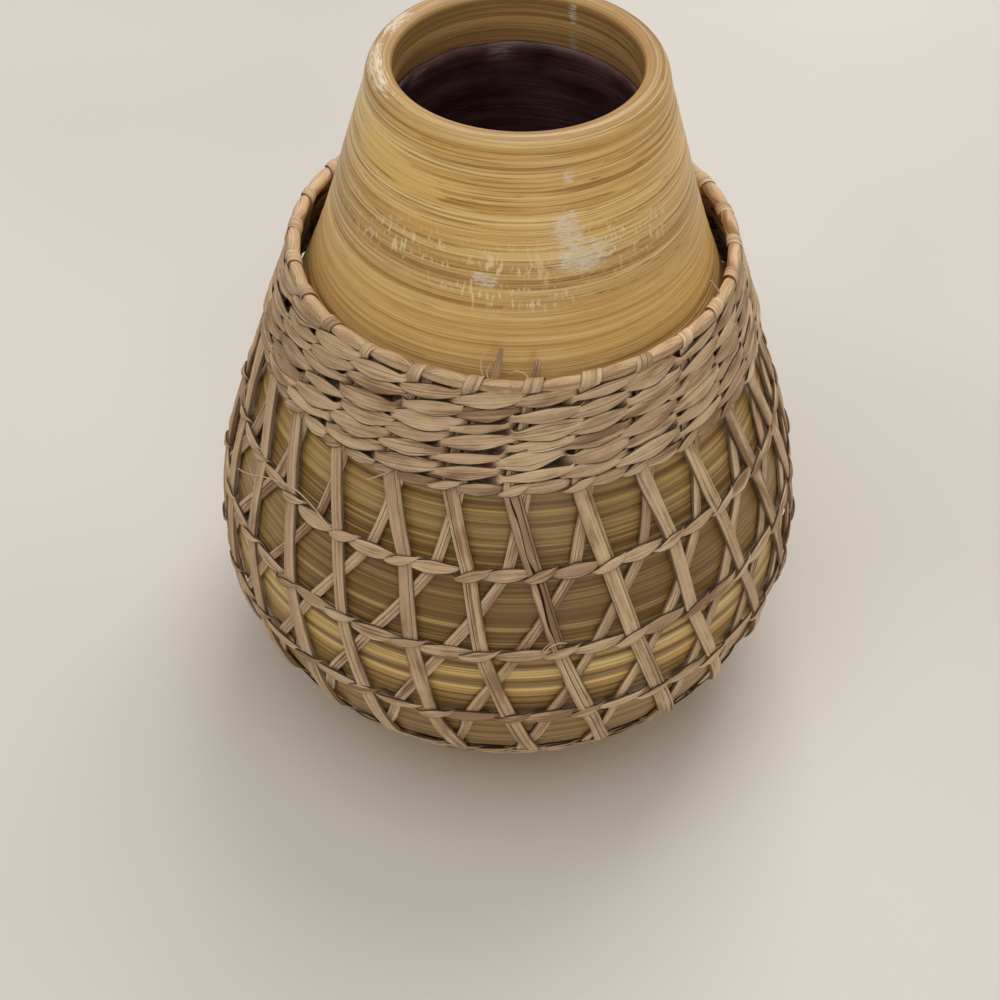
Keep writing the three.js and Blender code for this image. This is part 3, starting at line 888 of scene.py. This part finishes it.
def leaf_section(creases, depths, flap, gape=CREASE_HALF_WIDTH, edge_shade=EDGE_SHADE):
    """Across and height shares, painted shade marks for the creases and edges, and a light rib, round a
    folded leaf at each of its steps.
    """
    first, second = creases
    first_depth, second_depth = depths
    even = np.ones_like(first)
    none = np.zeros_like(first)
    top = [
        (-even, none, RIM_SHADE * even),
        (-LEAF_EDGE * even, LEAF_EDGE_RISE + flap, edge_shade * even),
        (-LEAF_RIM * even, LEAF_SHOULDER + flap, none),
        (first - gape, even + flap, none),
        (first, 1 - first_depth, first_depth),
        (first + gape, even, none),
        (second - CREASE_HALF_WIDTH, even, none),
        (second, 1 - second_depth, second_depth),
        (second + CREASE_HALF_WIDTH, even, none),
        (LEAF_RIM * even, LEAF_SHOULDER * even, none),
        (LEAF_EDGE * even, LEAF_EDGE_RISE * even, edge_shade * even),
        (even, none, RIM_SHADE * even),
    ]
    under = [(across, -height, mark) for across, height, mark in top[-2:0:-1]]
    across, height, marks = (np.stack(column, axis=1) for column in zip(*(top + under)))
    rib = (across < first[:, None]) * np.clip(first_depth, 0, 1)[:, None]
    return across, height, np.clip(marks, 0, 1), rib


def leaf_solid(path, roll, section, seed, tone, is_ring, turn_out):
    """Points and traits of a leaf along a path of degrees, drop, layer, width and thickness."""
    degrees, drop, layer, width, thickness = path.T
    across, height, marks, rib = section
    radius = sleeve_radius(drop)

    def speed(values):
        """Change of a value at each step; a ring's last step leads on to its first."""
        if is_ring:
            return (np.roll(values, -1) - np.roll(values, 1)) / 2
        return np.gradient(values)

    round_step = (2 * speed(degrees) + 180) % 360 - 180
    round_speed = radius * np.radians(round_step / 2)
    drop_speed = speed(drop)
    layer_speed = speed(layer)
    plane_speed = np.maximum(np.hypot(drop_speed, layer_speed), SLOWEST)
    whole_speed = np.hypot(round_speed, plane_speed)
    if turn_out:
        side_round = plane_speed / whole_speed
        side_drop = -round_speed / whole_speed * drop_speed / plane_speed
        side_layer = -round_speed / whole_speed * layer_speed / plane_speed
        out_drop = layer_speed / plane_speed
        out_layer = -drop_speed / plane_speed
    else:
        flat_speed = np.hypot(round_speed, drop_speed)
        side_round = drop_speed / flat_speed
        side_drop = -round_speed / flat_speed
        side_layer = np.zeros_like(drop)
        out_drop = np.zeros_like(drop)
        out_layer = np.ones_like(drop)
    wide = across * width[:, None] / 2
    high = height * thickness[:, None] / 2
    tilt = np.radians(roll)[:, None]
    sideways = wide * np.cos(tilt) - high * np.sin(tilt)
    outwards = wide * np.sin(tilt) + high * np.cos(tilt)
    points = sleeve_place(
        degrees[:, None] + np.degrees(sideways * side_round[:, None] / radius[:, None]),
        drop[:, None] + sideways * side_drop[:, None] + outwards * out_drop[:, None],
        layer[:, None] + sideways * side_layer[:, None] + outwards * out_layer[:, None],
    )
    along = np.broadcast_to(np.cumsum(whole_speed)[:, None], wide.shape)
    fibre = np.stack([along, wide, np.broadcast_to(seed[:, None], wide.shape)], axis=-1)
    shade = np.stack([marks, np.zeros_like(wide), tone[:, None] + RIB_TONE * rib], axis=-1)
    return points, fibre, shade


def add_leaf(name, solid, is_ring, node):
    """A leaf of the sleeve, as a ring or with its ends closed, its folds and edges kept crisp."""
    points, fibre, shade = solid
    rows, columns = points.shape[:2]
    faces = loop_faces(rows, columns, is_ring)
    if not is_ring:
        last = (rows - 1) * columns
        faces.append(list(range(columns))[::-1])
        faces.append(list(range(last, last + columns)))
    add_piece(name, points, faces, {"fibre": fibre, "tone": shade}, leaf, node, SHARP_FOLD)


outer_leg = leg_path(outer_leg_places())[::-1]
inner_leg = leg_path(inner_leg_places())
fold_radius = HOOP_PINCH + FOLD_GAP + FOLD_THICKNESS / 2
fold_share = np.linspace(0, 1, FOLD_STEPS)
fold_turn = np.radians(90 + FOLD_WRAP * (fold_share - 0.5))
fold = np.column_stack([
    -np.sin(fold_turn) * fold_radius,
    (2 * fold_share - 1) * leg_angle(0.0),
    WEAVE_LAYER + np.cos(fold_turn) * fold_radius,
    np.full(FOLD_STEPS, FOLD_WIDTH),
    np.full(FOLD_STEPS, FOLD_THICKNESS),
])
ribbon_places = np.vstack([outer_leg, fold, inner_leg])
ribbon_steps = len(ribbon_places)
away_from_hoop = np.clip((ribbon_places[:, 0] - BAND_DROP) / LOOSENING, 0, 1)


def drift(size, spacing):
    """A seeded soft drift along a ribbon, of about the given size."""
    knots = seeded.normal(0, size, int(ribbon_steps / spacing) + 3)
    drifted = np.interp(np.arange(ribbon_steps) / spacing, np.arange(len(knots)), knots)
    return eased(drifted, BEND_WINDOW)


def down_the_ribbon(outer, at_fold, inner):
    """A trait with its own value on the outer leg, the fold and the inner leg, changing softly."""
    values = np.concatenate([np.full(len(outer_leg), outer), np.full(FOLD_STEPS, at_fold),
                             np.full(len(inner_leg), inner)])
    return eased(values, BEND_WINDOW)


def picked(ranges):
    """A seeded value from each of some ranges."""
    return [seeded.uniform(*limits) for limits in ranges]


def ribbon_creases(is_split):
    """Places and depths of a ribbon's two creases: one deep on the outer leg, a pair on the inner leg."""
    is_left = seeded.choice([-1, 1]) < 0
    near_edge, far, deep = picked([NEAR_EDGE_CREASE, FAR_CREASE, DEEP_CREASE])
    faint = seeded.choice(FAINT_DEPTHS)
    outer = (-near_edge, far) if is_left else (-far, near_edge)
    outer_depths = (deep, faint) if is_left else (faint, deep)
    if is_split:
        outer = SPLIT_CREASES
        outer_depths = SPLIT_DEPTHS
    first, second = [down_the_ribbon(*places) + drift(*CREASE_DRIFT)
                     for places in zip(outer, FOLD_CREASES, picked(INNER_CREASES))]
    fold_depths = seeded.choice(FOLD_DEPTHS, 2)
    depths = [down_the_ribbon(*values) for values in zip(outer_depths, fold_depths, picked(INNER_DEPTHS))]
    nearest, farthest = CREASE_LIMITS
    return (np.clip(first, -farthest, -nearest), np.clip(second, nearest, farthest)), depths


for ribbon in range(RIBBONS):
    drop, degrees, layer, width, thickness = ribbon_places.T
    degrees = degrees + FIRST_FOLD_ANGLE + ribbon * RIBBON_ANGLE + away_from_hoop * drift(*ANGLE_DRIFT)
    width = width * (1 + drift(*WIDTH_DRIFT))
    width = width * down_the_ribbon(*picked(WIDTH_RANGES))
    layer = layer + away_from_hoop * drift(*LAYER_DRIFT)
    path = np.column_stack([degrees, drop, layer, width, thickness])
    roll = away_from_hoop * drift(*ROLL_DRIFT)
    is_split = ribbon + 1 == SPLIT_RIBBON
    creases, depths = ribbon_creases(is_split)
    gape = np.full(ribbon_steps, CREASE_HALF_WIDTH)
    if is_split:
        tear = (drop > band_end) & (drop < open_rows[1]) & (np.arange(ribbon_steps) < len(outer_leg))
        gape = gape + tear * np.clip(SPLIT_GAPE + drift(*GAPE_DRIFT), 0, WIDEST_GAPE)
        creases = (creases[0] + tear * drift(*SPLIT_DRIFT), creases[1] + SPLIT_SHIFT * tear)
    flap = down_the_ribbon(seeded.uniform(*OUTER_FLAP), 0.0, seeded.uniform(*INNER_FLAP))
    seed = np.full(ribbon_steps, seeded.uniform(*LEAF_SEEDS))
    tone = down_the_ribbon(*picked(TONE_RANGES))
    if is_split:
        tone = tone + SPLIT_TONE * eased(tear.astype(float), BEND_WINDOW)
    solid = leaf_solid(path, roll, leaf_section(creases, depths, flap, gape), seed, tone, False, True)
    number = f"{ribbon + 1:02d}"
    add_leaf(f"ribbon_{number}", solid, False, f"leaf_ribbon_{number}")


# Rows: pairs of leaf strands twined round the stakes, one in front of a stake and one behind it,
# changing places between stakes, so each front length is a flat lens that rises to the right.
# Tight rows make the band under the hoop and the lower border, and three open rows circle the belly.
# Painted shade: how dark a strand is drawn along its edges, where it lies over the next.
STRAND_EDGE_SHADE = 1.0
STRAND_STARTS = {"a": 0.0, "b": 0.5}
TIP_SHARE = 0.65
TIP_WIDTH = 0.4
BOW = 0.45
DIVE = 0.3
RETURN = 0.2
HOLD = 0.3
BEHIND_FULL = 0.72
SHINGLE = -4.0
BAND_BACK = 0.55
BACK_TUCK = 0.85
BAND_SHIFT = 3.0
TOP_ROW_LIFT = 1.2
ROW_RISE = 1.3

# Kinds of row: how often they twine and how they lie behind the stakes, then each strand's front lengths,
# which reach a share of the way from stake to stake.
BAND_LENS = {"reach": 0.5, "width": 4.5, "rise": 1.15, "layer": 2.95}
BORDER_LENS = {"reach": 0.5, "width": 2.8, "rise": 0.8, "layer": 1.05}
TIGHT_ROW = {
    "twists": RIBBON_PAIRS, "steps": 40, "spread": 0.24, "thickness": 0.75,
    "back_width": 6.2, "tip_reach": 0.18, "tuck": 0.0,
    "a": BAND_LENS, "b": BAND_LENS,
}
OPEN_ROW = {
    "twists": RIBBONS, "steps": 28, "spread": 0.12, "thickness": 0.75,
    "back": 0.5, "back_width": 1.2, "tip_reach": 0.16, "tuck": 0.16,
    "a": {"reach": 0.38, "width": 2.7, "rise": 1.3, "layer": 2.6},
    "b": {"reach": 0.62, "width": 3.0, "rise": 0.5, "layer": 2.05},
}
BORDER_ROW = {
    **OPEN_ROW, "thickness": 0.45, "back": 0.3, "back_width": 2.8, "tuck": 0.0,
    "a": BORDER_LENS, "b": BORDER_LENS,
}

# Seeded variation from one front length to the next, as spreads or ranges.
SLIP = 0.07
REACH_RANGE = (0.88, 1.12)
LENS_POWERS = (1.2, 1.9)
WIDTH_LIMITS = (0.62, 1.42)
LIFT_SPREAD = 0.26
SLANT_SPREAD = 0.2
LAYER_SPREAD = 0.12
ROLL_SPREAD = 6
STRAND_CREASES = ((-0.75, -0.2), (0.2, 0.75))
STRAND_DEPTHS = (0, 0, 0.15, 0.7)
STRAND_FLAP = (-0.15, 0.25)
STRAND_TONES = (-0.2, 0.12)


def smooth_step(low, high, values):
    """Nothing below low, one above high and an eased rise between them."""
    share = np.clip((values - low) / (high - low), 0, 1)
    return share * share * (3 - 2 * share)


def ring_eased(values):
    """Values round a ring with their corners eased."""
    return (np.roll(values, 1) + 2 * values + np.roll(values, -1)) / 4


def add_strand(name, node, letter, row):
    """One of the two strands of a row: a runs in front of the first stake, b in front of the next."""
    twists = row["twists"]
    front = row[letter]
    place = 0.5 + np.arange(row["steps"] * twists) / row["steps"]

    def held(values):
        """Values given for each front length, kept over it and changed behind the stakes."""
        length = np.floor(place).astype(int)
        share = np.clip((place - length - HOLD) / (1 - 2 * HOLD), 0, 1)
        return between(values[length % twists], values[(length + 1) % twists], share)

    def scattered(middle, spread):
        """A seeded value about a middle for each front length."""
        return held(seeded.normal(middle, spread, twists))

    def ranged(low, high):
        """A seeded value from a range for each front length."""
        return held(seeded.uniform(low, high, twists))

    degrees = row["first_angle"] + 360 * (place - STRAND_STARTS[letter]) / twists
    offset = 2 * (place - np.round(place)) + scattered(0, SLIP)
    nearness = np.abs(offset)
    reach = front["reach"] * ranged(*REACH_RANGE)
    tip = reach + row["tip_reach"]
    lens = np.clip(1 - (nearness / tip) ** ranged(*LENS_POWERS), 0, 1)
    dive = smooth_step(reach, reach + DIVE, nearness)
    swell = held(np.clip(seeded.normal(1, row["spread"], twists), *WIDTH_LIMITS))
    lift = scattered(0, LIFT_SPREAD)
    slant = scattered(1, SLANT_SPREAD) * front["rise"]
    fall = np.where(nearness < tip, nearness / tip, 1 - smooth_step(tip, tip + RETURN, nearness))
    drop = row["drop"] - row["rise"] * np.sin(np.radians(degrees)) - lift - slant * np.sign(offset) * fall
    bowed = front["layer"] - BOW * np.minimum(nearness / tip, 1) ** 2
    layer = between(bowed, row["back"], dive) + scattered(0, LAYER_SPREAD)
    behind = (row["back_width"] - TIP_WIDTH) * smooth_step(reach + row["tuck"], BEHIND_FULL, nearness)
    width = between(TIP_WIDTH, front["width"] * swell, lens) + behind
    thickness = row["thickness"] * between(TIP_SHARE, 1, lens)
    path = np.column_stack([degrees, ring_eased(drop), ring_eased(layer), ring_eased(width), thickness])
    roll = scattered(SHINGLE, ROLL_SPREAD) * lens
    creases = [ranged(*limits) for limits in STRAND_CREASES]
    depths = [held(seeded.choice(STRAND_DEPTHS, twists)) for crease in creases]
    flap = ranged(*STRAND_FLAP)
    length = np.round(place).astype(int) % twists
    seed = seeded.uniform(*LEAF_SEEDS, twists)[length]
    tone = seeded.uniform(*STRAND_TONES, twists)[length]
    section = leaf_section(creases, depths, flap, edge_shade=STRAND_EDGE_SHADE)
    points, fibre, shade = leaf_solid(path, roll, section, seed, tone, True, False)
    # Painted shade on the lengths that dive behind the stakes.
    shade[..., 1] = dive[:, None]
    add_leaf(name, (points, fibre, shade), True, node)


def add_row(name, node, kind, drop, first_angle, rise):
    """Both strands of one row."""
    row = {**kind, "drop": drop, "first_angle": FIRST_FOLD_ANGLE + first_angle, "rise": rise}
    for letter in STRAND_STARTS:
        add_strand(f"{name}_strand_{letter}", f"{node}_strand_{letter}", letter, row)


for row in range(BAND_ROWS - 1):
    share = row / (BAND_ROWS - 1)
    drop = BAND_DROP + row * BAND_PITCH
    kind = {**TIGHT_ROW, "back": BAND_BACK - BACK_TUCK * share * flare(drop)}
    add_row(f"band_{row + 1}", f"band_row_{row + 1}", kind, drop - TOP_ROW_LIFT * (1 - share),
            BAND_SHIFT + BAND_LEAN * share, ROW_RISE * share)
add_row(f"band_{BAND_ROWS}", f"band_row_{BAND_ROWS}", OPEN_ROW, band_end, outer_leg_angle(0), ROW_RISE)
for row, drop in enumerate(open_rows, 1):
    add_row(f"belly_{row}", f"open_row_{row}", OPEN_ROW, drop, outer_leg_angle(row), ROW_RISE)
for row in range(BORDER_ROWS):
    add_row(f"border_{row + 1}", f"lower_border_row_{row + 1}", BORDER_ROW,
            border_start + row * BAND_PITCH, border_pair_angle, ROW_RISE)


# Loose ends: where a leaf ran out, its end was left standing instead of being trimmed.
# They are split tips and hairs of the same dried leaf, each still caught in the hoop or under a strand.
# Each has its width at the root and at the tip, its tone, and its places in degrees, drop and layer.
SLIVER_STEPS = 30
SLIVER_BEND = 7
SLIVER_THICKNESS = 0.35
SLIVER_CREASES = (-0.4, 0.3)
SLIVER_DEPTHS = (0.0, 0.5)
LOOSE_ENDS = {
    "split_tip": (2.5, 0.9, -0.4, [(-4.4, 0.8, 1.4), (-4.0, -2.5, 1.0), (-3.0, -8.0, -0.6)]),
    "curled_hair": (0.4, 0.2, 0.25, [(-6.0, 0.8, 1.4), (-7.8, -3.0, 0.8), (-8.0, -5.5, 0.2),
                                     (-6.2, -7.2, 0.0)]),
    "short_curl": (0.35, 0.2, 0.2, [(-5.4, 0.8, 1.4), (-6.4, -2.6, 0.8), (-5.6, -4.4, 0.3),
                                    (-4.9, -3.2, 0.2)]),
    "broken_fold": (2.2, 1.2, -0.25, [(5.2, 1.0, 1.4), (5.6, -2.0, 1.2), (6.5, -5.5, 0.0)]),
    "frayed_fold": (0.5, 0.2, 0.25, [(5.0, 0.8, 1.6), (3.2, -2.6, 1.2), (0.6, -3.2, 0.6),
                                     (-0.9, -2.2, 0.4)]),
    "side_thorn": (0.9, 0.3, 0.1, [(66.5, 0.8, 1.4), (65.2, -2.4, 1.2), (63.6, -6.0, 0.6)]),
    "long_hair": (0.35, 0.25, 0.3, [(-36.5, 47.6, 2.3), (-41.5, 44.0, 3.4), (-46.0, 42.5, 3.8),
                                    (-50.5, 43.5, 4.0), (-57.0, 47.5, 4.2), (-64.0, 53.5, 4.2),
                                    (-70.0, 58.5, 3.0)]),
    "row_fray": (0.4, 0.2, 0.25, [(6.6, 67.8, 2.4), (7.6, 65.2, 3.4), (9.2, 64.2, 3.6), (10.8, 65.0, 3.0)]),
    "row_curl": (0.35, 0.2, 0.25, [(6.2, 67.8, 2.4), (6.6, 65.6, 3.4), (7.6, 64.2, 3.5), (8.4, 64.8, 3.2)]),
    "band_stub": (1.7, 1.1, 0.05, [(38.0, 11.6, 2.6), (41.0, 10.2, 3.9), (43.4, 9.0, 3.9)]),
    "band_hair": (0.4, 0.2, 0.2, [(-31.5, 30.5, 1.8), (-28.0, 27.4, 3.2), (-23.5, 23.2, 2.6)]),
}

even = np.ones(SLIVER_STEPS)
sliver_section = leaf_section([share * even for share in SLIVER_CREASES],
                              [depth * even for depth in SLIVER_DEPTHS], 0 * even)
for end, (root_width, tip_width, tone, places) in LOOSE_ENDS.items():
    steps = np.linspace(0, len(places) - 1, SLIVER_STEPS)
    columns = [eased(np.interp(steps, np.arange(len(places)), column), SLIVER_BEND)
               for column in np.array(places).T]
    width = np.linspace(root_width, tip_width, SLIVER_STEPS)
    path = np.column_stack([*columns, width, SLIVER_THICKNESS * even])
    seed = seeded.uniform(*LEAF_SEEDS) * even
    solid = leaf_solid(path, 0 * even, sliver_section, seed, tone * even, False, False)
    add_leaf(f"loose_{end}", solid, False, None)


# Table top: a plain pale surface for the vase to stand on, wide enough to fill the view.
# It is matt, with the faintest mottling, and only carries the shadow: it isn't part of the vase.
FLOOR_HALF = 1500.0
FLOOR_COLOUR = (216, 211, 203)
FLOOR_SHADE = (208, 202, 193)
FLOOR_SHADES = [(0.4, FLOOR_SHADE), (0.6, FLOOR_COLOUR)]
FLOOR_GRAINS = {"mottle": (3.0, 3.0, 3.0, 2.0)}
FLOOR_SHEEN = {"Roughness": 0.8, "Specular IOR Level": 0.15}

floor_half = FLOOR_HALF * MM
floor_mesh = bpy.data.meshes.new("table_top")
floor_corners = [(-floor_half, -floor_half, 0), (floor_half, -floor_half, 0),
                 (floor_half, floor_half, 0), (-floor_half, floor_half, 0)]
floor_mesh.from_pydata(floor_corners, [], [(0, 1, 2, 3)])
floor_finish, floor_tree, floor_shader = new_finish("pale_table")
floor_place = add_node(floor_tree, "ShaderNodeTexCoord", {}).outputs["Object"]
floor_mottle = grains_over(floor_tree, floor_place, FLOOR_GRAINS)["mottle"]
floor_tree.links.new(shades(floor_tree, floor_mottle, FLOOR_SHADES), floor_shader.inputs["Base Color"])
set_sheen(floor_shader, FLOOR_SHEEN)
floor_mesh.materials.append(floor_finish)
floor = bpy.data.objects.new("table_top", floor_mesh)
bpy.context.scene.collection.objects.link(floor)


# Light and camera: a soft window light from behind and to the right, a wide ceiling light, and a weak low
# light in front for the lacquer's sheen, each given by its place, size and power in watts.
# The camera stands above the front of the vase and looks down.
WORLD_COLOUR = (238, 235, 232)
WORLD_STRENGTH = 0.38
LAMPS = {
    "window_light": ((250.0, 700.0, 1150.0), 800.0, 9.4),
    "ceiling_light": ((-140.0, -300.0, 1250.0), 1100.0, 7.0),
    "front_sheen": ((330.0, -1250.0, 260.0), 450.0, 1.4),
}
AIM_HEIGHT = 90.0
CAMERA_PLACE = (-2.2, -285.0, 355.0)
CAMERA_PITCH = 47.4
CAMERA_ROLL = 1.04
CAMERA_LENS = 54.0
CAMERA_SENSOR = 36.0
CAMERA_NEAR = 10.0

world = bpy.data.worlds.new("pale_room")
world.use_nodes = True
background = world.node_tree.nodes["Background"]
background.inputs["Color"].default_value = linear(WORLD_COLOUR)
background.inputs["Strength"].default_value = WORLD_STRENGTH
bpy.context.scene.world = world

for lamp_name, (place, size, power) in LAMPS.items():
    light = bpy.data.lights.new(lamp_name, "AREA")
    light.size = size * MM
    light.energy = power
    lamp = bpy.data.objects.new(lamp_name, light)
    lamp.location = Vector(place) * MM
    aim = Vector((0, 0, AIM_HEIGHT)) * MM - lamp.location
    lamp.rotation_euler = aim.to_track_quat("-Z", "Y").to_euler()
    bpy.context.scene.collection.objects.link(lamp)

camera_lens = bpy.data.cameras.new("camera")
camera_lens.lens = CAMERA_LENS
camera_lens.sensor_width = CAMERA_SENSOR
camera_lens.clip_start = CAMERA_NEAR * MM
camera = bpy.data.objects.new("camera", camera_lens)
camera.matrix_world = (Matrix.Translation(Vector(CAMERA_PLACE) * MM)
                       @ Matrix.Rotation(math.radians(90 - CAMERA_PITCH), 4, "X")
                       @ Matrix.Rotation(math.radians(CAMERA_ROLL), 4, "Z"))
bpy.context.scene.collection.objects.link(camera)
bpy.context.scene.camera = camera
bpy.context.scene.view_settings.view_transform = "Standard"
